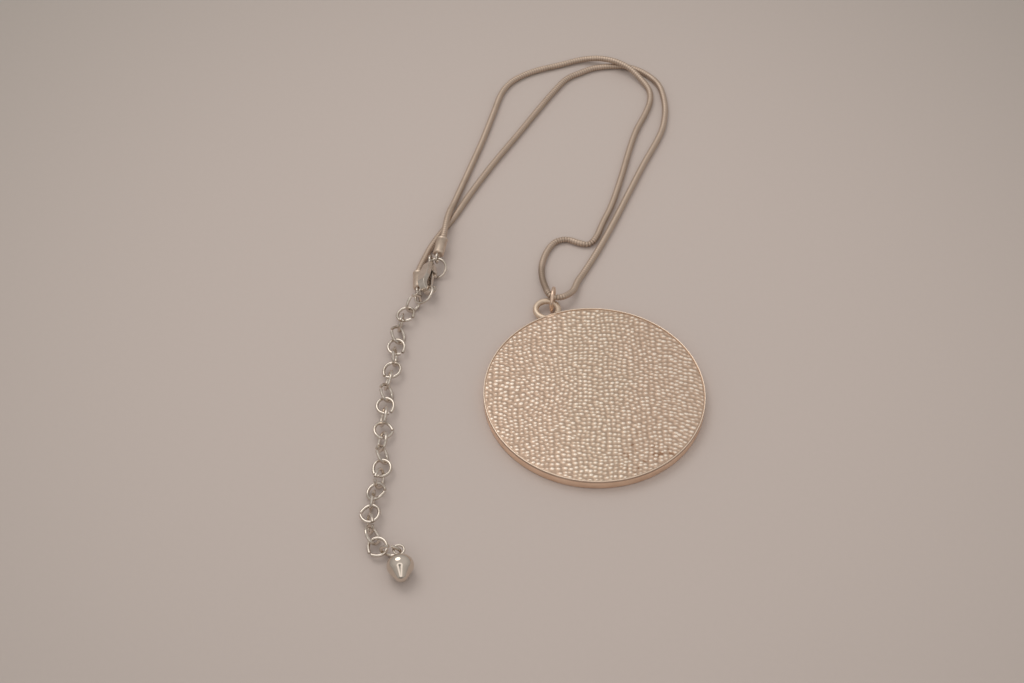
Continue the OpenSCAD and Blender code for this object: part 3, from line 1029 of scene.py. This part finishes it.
    def face(self) -> None:
        """Makes the pebbled face with a recipe and closes it underneath."""
        n = self.samples
        columns = math.ceil(self.face_r / self.pebble_w) + 1
        rows = math.ceil(self.face_r / self.pebble_l) + 1
        cook = Recipe("pebbled_face", {
            "Pebble width": self.pebble_w * MM, "Pebble length": self.pebble_l * MM,
            "Pebble height": self.pebble_h * MM, "Face radius": self.face_r * MM,
            "Seam height": self.seam_z * MM, "Samples": n,
            "Columns": 2 * columns * n + 1, "Rows": 2 * rows * n + 1})
        reach, each = cook.size("Face radius"), cook.size("Samples")
        grid = cook.node("GeometryNodeMeshGrid", None, {
            "Size X": cook.size("Pebble width") * (cook.size("Columns") - 1) / each,
            "Size Y": cook.size("Pebble length") * (cook.size("Rows") - 1) / each,
            "Vertices X": cook.size("Columns"), "Vertices Y": cook.size("Rows")}, "Mesh")
        x, y, _ = cook.split(cook.node("GeometryNodeInputPosition"))
        rise = self._rise(cook, x, y)
        far = (x * x + y * y) ** 0.5
        inward = (reach / far.most(1e-6)).least(1.0)
        rise = rise * far.ease(reach, reach - self.rim_slope * MM)
        height = cook.size("Seam height") + cook.size("Pebble height") * rise
        spot = cook.join(x * inward, y * inward, height)
        kept = cook.store(grid, "crown", rise)
        kept = cook.store(kept, "far", far)
        laid = cook.node("GeometryNodeSetPosition", None, {"Geometry": kept, "Position": spot})
        outside = cook.named("far") > reach + self.rim_spare * MM
        trimmed = cook.node("GeometryNodeDeleteGeometry", {"domain": "POINT"},
                            {"Geometry": laid, "Selection": outside})
        welded = cook.node("GeometryNodeMergeByDistance", None,
                           {"Geometry": trimmed, "Distance": self.weld * MM})
        smooth = cook.node("GeometryNodeSetShadeSmooth", None, {0: welded, "Shade Smooth": True})
        mesh = cook.run(smooth, bpy.data.meshes.new("face_start"), PEBBLE_GOLD.material())
        work = bmesh.new()
        work.from_mesh(mesh)
        bmesh.ops.dissolve_degenerate(work, edges=work.edges, dist=0.75 * self.weld * MM)
        rim = [e for e in work.edges if e.is_boundary]
        down = bmesh.ops.extrude_edge_only(work, edges=rim)
        low = [p for p in down["geom"] if isinstance(p, bmesh.types.BMVert)]
        for point in low:
            point.co.z = (self.seam_z - self.skirt) * MM
        bmesh.ops.contextual_create(work, geom=[e for e in work.edges if e.is_boundary])
        bmesh.ops.recalc_face_normals(work, faces=work.faces)
        work.to_mesh(mesh)
        work.free()
        tie(mesh, "pebbled_face", "necklace", ["pendant_disc"])

    def build(self) -> None:
        """Makes every piece of the disc."""
        self.blank()
        self.face()


@dataclass
class PendantRing:
    """The jump ring that stands in the ear."""

    outer: float = 5.6
    wire: float = 0.75
    side: float = 1.2
    inset: float = 0.32
    turn: float = -8.0
    joint: float = 40.0
    floor_gap: float = 0.03

    def centre(self, disc: PebbledDisc) -> Vector:
        """Where the ring stands in the ear."""
        ahead = math.sqrt(disc.ear_r ** 2 - self.side ** 2) - self.inset
        return Vector((disc.ear_at.x + self.side, disc.ear_at.y + ahead, self.outer / 2 + self.floor_gap))

    def build(self, disc: PebbledDisc) -> None:
        """Bends the ring.

        Args:
            disc: the disc whose ear it stands in.
        """
        shape = Shape("pendant_jump_ring")
        place = turned(tuple(self.centre(disc)), (0, 90, self.turn))
        shape.ring(self.outer, self.wire, RING_GOLD, place, cut=self.joint)
        shape.finish("necklace", "rose_metal", ["pendant_ring"])


# The chain


@dataclass
class SnakeChain:
    """The folded snake chain, one ribbed strand along its route."""

    diameter: float = 1.4
    rib: float = 0.6
    sides: int = 14
    steps_a_rib: int = 4
    rib_depth: float = 0.16
    bend_depth: float = 0.16
    # Share of the ribs' depth that a straight stretch has, how many steps off the bend is read, and what
    # the ends of the tangents are apart in a slight and in a full bend
    straight_share: float = 0.6
    bend_steps: int = 7
    bend_range: tuple[float, float] = (0.25, 0.8)
    smoothness: int = 16
    floor_gap: float = 0.03
    ear_gap: float = 0.12
    over_rise: float = 1.52
    up: float = 0.9
    # Columns: x and y from a point that lies up beyond the pendant ring's centre, share of a strand's height
    # where one strand lies on the other, and share of the height at which the chain passes over the ear.
    route: tuple[tuple[float, float, float, float], ...] = (
        (-24.1, 15.4, 1.16, 0), (-23.5, 18.8, 1.2, 0), (-23.1, 22.3, 1.15, 0), (-22.5, 26.2, 0.75, 0),
        (-21.4, 30.5, 0.15, 0), (-18.4, 40.6, 0, 0), (-15.6, 50, 0, 0), (-13, 59.9, 0, 0),
        (-11.4, 66.1, 0, 0), (-9.7, 69.7, 0, 0), (-7.2, 72.5, 0, 0), (-2.9, 75.1, 0, 0),
        (3.1, 77.3, 0, 0), (8.1, 79, 0.1, 0), (11.5, 78.8, 0.5, 0), (14.1, 77.8, 0.9, 0),
        (16.9, 76.5, 1, 0), (19.8, 74.5, 0.8, 0), (22.4, 71.5, 0.3, 0), (24.1, 68.3, 0, 0),
        (24.2, 64.5, 0, 0), (22.9, 60, 0, 0), (20.5, 54.2, 0, 0), (18.6, 47.8, 0, 0),
        (16.2, 38.2, 0, 0), (13.8, 29.7, 0, 0), (11.5, 23.7, 0, 0), (10, 19.6, 0, 0),
        (8.4, 17.4, 0, 0), (6.3, 17.6, 0, 0), (3.5, 18.7, 0, 0), (0.9, 17.9, 0, 0),
        (-1, 15, 0, 0), (-2.1, 11.1, 0, 0), (-2.1, 7.1, 0, 0.15), (-1.4, 3.2, 0, 0.55),
        (-0.8, 0.6, 0, 0.98), (0, -0.3, 0, 1), (1.2, -0.4, 0, 0.97), (2.7, 0.5, 0, 0.75),
        (4.4, 2.7, 0, 0.4), (5.6, 6.3, 0, 0.1), (7.1, 9.2, 0, 0), (10.5, 16.1, 0, 0),
        (14.1, 24.3, 0, 0), (17.7, 33.2, 0, 0), (21.5, 42.5, 0, 0), (25.6, 51.8, 0, 0),
        (27.1, 57.2, 0, 0), (27.6, 63.2, 0, 0), (26.6, 69.8, 0, 0), (23.5, 74.1, 0, 0),
        (19.7, 76.4, 0, 0), (15.7, 76.8, 0, 0), (11.3, 76.1, 0, 0), (7.8, 74.3, 0, 0),
        (4.5, 72.1, 0, 0), (1.3, 67.5, 0, 0), (-1.9, 62.1, 0, 0), (-7.2, 52.7, 0, 0),
        (-12.8, 43, 0, 0), (-17.7, 33.6, 0, 0), (-21.3, 26, 0, 0), (-23.4, 22.2, 0, 0),
        (-25.1, 19.1, 0, 0), (-26.6, 15.9, 0, 0), (-27.5, 13.2, 0.1, 0), (-28.2, 10.9, 0.25, 0),
        (-28.8, 8.4, 0.38, 0), (-28.7, 6.4, 0.41, 0))

    def path(self, ring: Vector, disc: PebbledDisc) -> list[Vector]:
        """The strand's middle line.

        Args:
            ring: centre of the pendant ring.
            disc: the disc, whose ear the chain passes over.

        Returns:
            Its points, in millimetres.
        """
        low = self.diameter / 2 + self.floor_gap
        high = disc.ear_z + disc.ear_wire / 2 + self.ear_gap + self.diameter / 2
        return [Vector((ring.x + x, ring.y + self.up + y, low + over * self.over_rise + ear * (high - low)))
                for x, y, over, ear in self.route]

    def build(self, ring: Vector, disc: PebbledDisc) -> list[Vector]:
        """Weaves the chain with a recipe.

        Args:
            ring: centre of the pendant ring.
            disc: the disc.

        Returns:
            The middle line.
        """
        points = self.path(ring, disc)
        base = bpy.data.meshes.new("chain_start")
        base.from_pydata([p * MM for p in points], [(k, k + 1) for k in range(len(points) - 1)], [])
        cook = Recipe("snake_chain", {
            "Radius": self.diameter / 2 * MM, "Rib length": self.rib * MM, "Rib depth": self.rib_depth,
            "Bend depth": self.bend_depth, "Steps a rib": self.steps_a_rib, "Sides": self.sides})
        line = cook.node("GeometryNodeMeshToCurve", None, {0: Wire(cook, cook.entry.outputs[0])})
        line = cook.node("GeometryNodeCurveSplineType", {"spline_type": "CATMULL_ROM"}, {"Curve": line})
        line = cook.node("GeometryNodeSetSplineResolution", None, {0: line, "Resolution": self.smoothness})
        steps = cook.size("Steps a rib")
        line = cook.node("GeometryNodeResampleCurve", {"mode": "LENGTH"},
                         {"Curve": line, "Length": cook.size("Rib length") / steps})
        index = cook.node("GeometryNodeInputIndex")
        tangent = cook.node("GeometryNodeInputTangent")
        point = {"data_type": "FLOAT_VECTOR", "domain": "POINT"}
        ends = [cook.node("GeometryNodeFieldAtIndex", point, {"Index": index + step, "Value": tangent})
                for step in (-self.bend_steps, self.bend_steps)]
        apart = cook.vectors("DISTANCE", ends[0], ends[1], out="Value")
        bend = apart.ease(*self.bend_range)
        line = cook.store(line, "bend", bend)
        line = cook.store(line, "along", cook.node("GeometryNodeSplineParameter", None, None, "Length"))
        phase = (index % steps) / steps
        rib = (phase * math.tau).cos() * 0.5 + 0.5
        bent, straight = cook.named("bend"), self.straight_share
        depth = cook.size("Rib depth") * (straight + (1 - straight) * bent) + cook.size("Bend depth") * bent
        radius = cook.size("Radius") * (1 - rib * depth)
        section = cook.node("GeometryNodeCurvePrimitiveCircle", None,
                            {"Resolution": cook.size("Sides"), "Radius": 1.0})
        section = cook.store(section, "round", cook.node("GeometryNodeSplineParameter", None, None, "Factor"))
        tube = cook.node("GeometryNodeCurveToMesh", None,
                         {"Curve": line, "Profile Curve": section, "Scale": radius, "Fill Caps": True})
        smooth = cook.node("GeometryNodeSetShadeSmooth", None, {0: tube, "Shade Smooth": True})
        mesh = cook.run(smooth, base, WOVEN_SILVER.material())
        tie(mesh, "snake_chain", "necklace", ["chain_outer", "chain_inner"])
        return points


@dataclass
class EndCap:
    """A cup on the chain's end with a loop on its closed end."""

    name: str
    node: str
    roll: float
    diameter: float = 2.35
    length: float = 4.7
    grip: float = 1.8
    bore: float = 1.56
    loop: float = 2.6
    wire: float = 0.5
    plug: float = 0.1
    mouth_round: float = 0.14
    end_round: float = 0.45
    # The turned line near the mouth
    line_from: float = 0.5
    line_to: float = 0.72
    line_slope: float = 0.06
    line_deep: float = 0.05

    def build(self, end: Vector, inward: Vector) -> None:
        """Turns the cup and adds its loop.

        Args:
            end: the chain's end.
            inward: a point further up the chain.
        """
        way = (end - inward).normalized()
        place = aimed(tuple(end - self.grip * way), tuple(way))
        r, b = self.diameter / 2, self.bore / 2
        shape = Shape(self.name)
        mouth, rounded, deep = self.mouth_round, self.end_round, r - self.line_deep
        bottom = self.grip + self.plug
        profile = [(0, bottom), (b, bottom), (b, 0.12), (b + 0.08, 0.02), (r - mouth - 0.02, 0)]
        profile += arc((r - mouth, mouth), mouth, -80, 0, 4)
        profile += [(r, self.line_from), (deep, self.line_from + self.line_slope),
                    (deep, self.line_to - self.line_slope), (r, self.line_to),
                    (r, self.length - rounded - 0.05)]
        profile += arc((r - rounded, self.length - rounded), rounded, 0, 90, 7) + [(0, self.length)]
        shape.lathe(profile, SATIN_SILVER, place @ ALONG_X, 48)
        loop_at = self.length + (self.loop - self.wire) / 2
        ring = Matrix.Translation((loop_at, 0, 0)) @ turned((0, 0, 0), (90 + self.roll, 0, 0))
        shape.ring(self.loop, self.wire, BRIGHT_SILVER, place @ ring, sides=16, steps=48)
        shape.finish("necklace", "cap_metal", [self.node])


@dataclass
class WireRing:
    """A jump ring beside the clasp, with its hairline joint."""

    name: str
    node: str
    outer: float
    at: Point
    turn: Point
    joint: float
    wire: float = 0.55

    def build(self, clasp: Vector) -> None:
        """Bends the ring at its place by the clasp.

        Args:
            clasp: the clasp's centre.
        """
        shape = Shape(self.name)
        place = turned(tuple(clasp + Vector(self.at)), self.turn)
        shape.ring(self.outer, self.wire, BRIGHT_SILVER, place, cut=self.joint, sides=18, steps=64)
        shape.finish("necklace", "silver_metal", [self.node])


@dataclass
class Clasp:
    """The lobster clasp: its cast body and the sprung lever."""

    left: float = 26.5
    up: float = 6.25
    high: float = 2.68
    grain: float = 0.07
    rounds: int = 8

    def centre(self, ring: Vector) -> Vector:
        """Middle of the clasp, from the pendant ring's."""
        return Vector((ring.x - self.left, ring.y + self.up, self.high))

    def build(self) -> None:
        """Rounds off the two solids."""
        for node, name, body in (("clasp_body", "clasp_casting", "necklace"),
                                 ("clasp_lever", "clasp_thumb_lever", "clasp_lever")):
            mesh = softened(node, self.grain * MM, self.rounds)
            mesh.materials.append(BRIGHT_SILVER.material())
            mesh.polygons.foreach_set("material_index", [0] * len(mesh.polygons))
            tie(mesh, name, body, [node])


# The extender


@dataclass
class Extender:
    """The pinched links below the clasp, bent by one recipe."""

    length: float = 4.5
    width: float = 4.05
    wire: float = 0.55
    # How much thicker the wire is drawn, all of it inward
    stout: float = 0.1
    tip: float = 0.3
    split: float = 7.0
    spread: float = 50.0
    floor_gap: float = 0.03
    # How far the first link lies to the left of the clasp and below it
    first: tuple[float, float] = (2.95, 6.6)
    steps: int = 49
    sides: int = 12
    # Columns: heading in degrees, roll about it, side of the pinched joint, slack to the next link.
    links: tuple[tuple[float, float, float, float], ...] = (
        (-132, 104, 90, 0.3), (-112, 9, 70, 0.36), (-100, 84, 60, 0.44), (-97, 132, 90, 0.3),
        (-93, 180, -40, 0.25), (-93, 95, 90, 0.28), (-102, 5, -30, 0.3), (-98, 70, -60, 0.25),
        (-92, 125, 90, 0.25), (-93, 180, -35, 0.3), (-92, 250, 60, 0.33), (-90, 170, -90, 0.25),
        (-88, 240, 60, 0.3), (-86, 120, 90, 0.3), (-90, 180, 40, 0.35), (-104, 105, 60, 0.6),
        (-102, 20, 90, 0.75), (-98, 85, 90, 0.75), (-94, 10, -90, 0.75), (-80, 75, 60, 0.75),
        (-80, 130, -90, 0.9), (-46, 195, 90, 0.65), (-8, 95, 90, 0.35))

    def centres(self, clasp: Vector) -> list[Vector]:
        """Middle of each link.

        Args:
            clasp: the clasp's centre.

        Returns:
            The points, in millimetres.
        """
        a, b = (self.length - self.wire) / 2, (self.width - self.wire) / 2
        x, y = clasp.x - self.first[0], clasp.y - self.first[1]
        spots = []
        for k, (heading, roll, pinch, slack) in enumerate(self.links):
            lean = math.sin(math.radians(roll))
            tip = -(b + 1.2 * self.tip) * lean * math.sin(math.radians(pinch))
            spots.append(Vector((x, y, self.wire / 2 + self.floor_gap + max(b * max(0.7, abs(lean)), tip))))
            if k + 1 < len(self.links):
                ahead, _, _, more = self.links[k + 1]
                turn = math.radians((heading + ahead) / 2)
                step = self.length - 2 * self.wire - (slack + more) / 2
                x, y = x + step * math.cos(turn), y + step * math.sin(turn)
        return spots

    def build(self, clasp: Vector) -> Vector:
        """Bends all links with a recipe.

        Args:
            clasp: the clasp's centre.

        Returns:
            Middle of the last link.
        """
        spots = self.centres(clasp)
        base = bpy.data.meshes.new("link_start")
        base.from_pydata([p * MM for p in spots], [], [])
        for column, name in enumerate(("heading", "roll", "pinch")):
            kept = base.attributes.new(name, "FLOAT", "POINT")
            kept.data.foreach_set("value", [math.radians(row[column]) for row in self.links])
        drawn = self.wire + self.stout
        cook = Recipe("extender_links", {
            "Half length": (self.length - drawn) / 2 * MM, "Half width": (self.width - drawn) / 2 * MM,
            "Wire": drawn * MM, "Pinch": self.tip * MM, "Steps": self.steps, "Sides": self.sides})
        a, b = cook.size("Half length"), cook.size("Half width")
        strip = cook.node("GeometryNodeCurvePrimitiveLine", None, {"Start": (0, 0, 0), "End": (0, 0, MM)})
        strip = cook.node("GeometryNodeResampleCurve", {"mode": "COUNT"},
                          {"Curve": strip, "Count": cook.size("Steps")})
        strip = cook.store(strip, "share", cook.node("GeometryNodeSplineParameter", None, None, "Factor"))
        start = Wire(cook, cook.entry.outputs[0])
        place = cook.node("GeometryNodeInputPosition")
        for axis, value in zip("xyz", cook.split(place)):
            start = cook.store(start, "centre_" + axis, value)
        all_strips = cook.node("GeometryNodeInstanceOnPoints", None, {"Points": start, "Instance": strip})
        wires = cook.node("GeometryNodeRealizeInstances", None, {"Geometry": all_strips})
        heading, roll, pinch = (cook.named(name) for name in ("heading", "roll", "pinch"))
        split, spread = math.radians(self.split), math.radians(self.spread)
        offset = split + (math.tau - 2 * split) * cook.named("share")
        turn = pinch + offset
        off = offset.least(math.tau - offset)
        grow = 1 + cook.size("Pinch") / b * (1 - off / spread).most(0) ** 1.5
        ahead = cook.join(heading.cos(), heading.sin(), 0.0)
        aside = cook.join(-heading.sin() * roll.cos(), heading.cos() * roll.cos(), roll.sin())
        centre = cook.join(*(cook.named("centre_" + axis) for axis in "xyz"))
        spot = cook.vectors("ADD", centre, cook.vectors(
            "ADD", cook.scaled(ahead, a * turn.cos() * grow), cook.scaled(aside, b * turn.sin() * grow)))
        wires = cook.node("GeometryNodeSetPosition", None, {"Geometry": wires, "Position": spot})
        section = cook.node("GeometryNodeCurvePrimitiveCircle", None,
                            {"Resolution": cook.size("Sides"), "Radius": cook.size("Wire") / 2})
        tube = cook.node("GeometryNodeCurveToMesh", None,
                         {"Curve": wires, "Profile Curve": section, "Fill Caps": True})
        smooth = cook.node("GeometryNodeSetShadeSmooth", None, {0: tube, "Shade Smooth": True})
        mesh = cook.run(smooth, base, BRIGHT_SILVER.material())
        nodes = [f"link_{k + 1:02d}" for k in range(len(self.links))]
        tie(mesh, "extender_links", "necklace", nodes)
        return spots[-1]


@dataclass
class EndDrop:
    """The polished drop at the extender's end, with its neck and loop."""

    diameter: float = 5.2
    length: float = 5.3
    loop: float = 2.5
    wire: float = 0.5
    neck: float = 0.3
    neck_r: float = 0.42
    shoulder: float = 0.77
    tip: float = 0.54
    direction: Point = (0.12, -1, -0.12)
    side: float = 1.55
    down: float = 0.35
    floor_gap: float = 0.03

    def build(self, last: Vector) -> None:
        """Turns the drop and adds its loop.

        Args:
            last: middle of the last link.
        """
        half = self.diameter / 2
        broad, slim = self.shoulder * half, self.tip * half
        inset, along = half - broad, self.length - broad - slim
        loop_r = (self.loop - self.wire) / 2
        reach = broad + loop_r + self.neck
        way = Vector(self.direction).normalized()
        loop_at = Vector((last.x + self.side, last.y - self.down, half + self.floor_gap - reach * way.z))
        place = aimed(tuple(loop_at + reach * way), tuple(-way))
        turn = math.degrees(math.acos((broad - slim) / math.hypot(inset, along)) - math.atan2(along, -inset))
        top, thin = reach - loop_r + 0.1, self.neck_r
        profile = [(0, top), (thin, top), (thin + 0.08, broad + 0.12), (thin + 0.2, broad + 0.03)]
        profile += arc((inset, 0), broad, 90, turn, 28) + arc((0, -along), slim, turn, -90, 20)
        shape = Shape("end_drop")
        shape.lathe(profile, MIRROR_SILVER, place @ ALONG_X, 96)
        loop = place @ Matrix.Translation((reach, 0, 0))
        shape.ring(self.loop, self.wire, BRIGHT_SILVER, loop, sides=16, steps=48)
        shape.finish("necklace", "ball_metal", ["ball_drop"])


# The studio


@dataclass
class Studio:
    """Camera, table top, surround and lights."""

    lens: float = 59.34
    camera_at: Point = (-0.0166994, -0.2135644, 0.269305)
    camera_tip: float = 40.345
    surround: Colour = (0.80, 0.77, 0.74)
    strength: float = 0.69
    # Degrees from the lens at which the bright ring comes in and goes out, and the lens's own dark edge
    ring_in: tuple[float, float] = (10.0, 13.0)
    ring_out: tuple[float, float] = (27.0, 21.0)
    lens_edge: tuple[float, float] = (11.0, 8.0)
    ring_gain: float = 1.1
    lens_shade: float = 0.55
    gap_shade: float = 0.5
    key_at: Point = (-0.22, 0.28, 0.55)
    key_target: Point = (0, 0.02, 0)
    key_width: float = 0.45
    key_watts: float = 0.9
    key_tint: Colour = (1.0, 0.96, 0.92)

    def camera(self) -> None:
        """Sets the camera that matches the photograph."""
        data = bpy.data.cameras.new("camera")
        data.lens, data.sensor_width = self.lens, 36.0
        data.clip_start, data.clip_end = 0.01, 20.0
        made = bpy.data.objects.new("camera", data)
        made.location = self.camera_at
        made.rotation_euler = (math.radians(self.camera_tip), 0, 0)
        bpy.context.scene.collection.objects.link(made)
        bpy.context.scene.camera = made

    def table(self) -> None:
        """Lays the table top."""
        mesh = bpy.data.meshes.new("table_top")
        work = bmesh.new()
        bmesh.ops.create_grid(work, x_segments=8, y_segments=8, size=1.5)
        work.to_mesh(mesh)
        work.free()
        mesh.materials.append(PAPER.material())
        top = bpy.data.objects.new("table_top", mesh)
        bpy.context.scene.collection.objects.link(top)

    def world(self) -> None:
        """Writes the pale surround, with a bright ring round the lens and a darker gap low in front."""
        world = bpy.data.worlds.new("surround")
        bpy.context.scene.world = world
        world.use_nodes = True
        world.node_tree.nodes.clear()
        sheet = Sheet(world.node_tree)
        way = sheet.node("ShaderNodeTexCoord", None, None, "Generated")
        x, y, z = sheet.split(way)
        tip = math.radians(90 - self.camera_tip)
        lens_way = (0.0, -math.cos(tip), math.sin(tip))
        near = sheet.vectors("DOT_PRODUCT", way, lens_way, out="Value")
        angle = near.maths("ARCCOSINE") * (180 / math.pi)
        ring = angle.ease(*self.ring_in) * angle.ease(*self.ring_out)
        lens = angle.ease(*self.lens_edge)
        gap = y.ease(-0.55, -0.8) * z.ease(0.42, 0.3) * x.abs().ease(0.55, 0.3)
        glow = 0.75 + z.ease(0.0, 0.9) * 0.35
        level = glow * (1 - lens * self.lens_shade) * (1 - gap * self.gap_shade) + ring * self.ring_gain
        shade = sheet.node("ShaderNodeBackground", None,
                           {"Color": self.surround, "Strength": level * self.strength})
        out = world.node_tree.nodes.new("ShaderNodeOutputWorld")
        world.node_tree.links.new(shade.socket, out.inputs["Surface"])

    def lamp(self) -> None:
        """Hangs the soft round key lamp."""
        data = bpy.data.lights.new("key", "AREA")
        data.shape, data.size = "DISK", self.key_width
        data.energy, data.color = self.key_watts, self.key_tint
        made = bpy.data.objects.new("key", data)
        made.location = self.key_at
        way = Vector(self.key_target) - Vector(self.key_at)
        made.rotation_euler = way.to_track_quat("-Z", "Y").to_euler()
        bpy.context.scene.collection.objects.link(made)

    def build(self) -> None:
        """Sets up everything round the necklace."""
        bpy.context.scene.view_settings.view_transform = "Standard"
        self.camera()
        self.table()
        self.world()
        self.lamp()


def main() -> None:
    """Builds the studio and the necklace, piece by piece."""
    logging.basicConfig(level=logging.INFO, format="%(name)s %(message)s")
    Studio().build()
    disc, jump = PebbledDisc(), PendantRing()
    disc.build()
    jump.build(disc)
    ring = jump.centre(disc)
    strand = SnakeChain().build(ring, disc)
    EndCap("front_cap", "cap_a", roll=5).build(strand[0], strand[1])
    EndCap("rear_cap", "cap_b", roll=20).build(strand[-1], strand[-2])
    clasp = Clasp()
    centre = clasp.centre(ring)
    clasp.build()
    WireRing("tail_jump_ring", "join_ring", outer=4.7, at=(1.6, 4.1, -1.18),
             turn=(28.5, -14, 0), joint=200).build(centre)
    WireRing("hitch_jump_ring", "hitch_ring", outer=5.1, at=(-0.82, -4.52, -0.08),
             turn=(-0.5, -36, 0), joint=100).build(centre)
    last = Extender().build(centre)
    EndDrop().build(last)


if __name__ == "__main__":
    main()
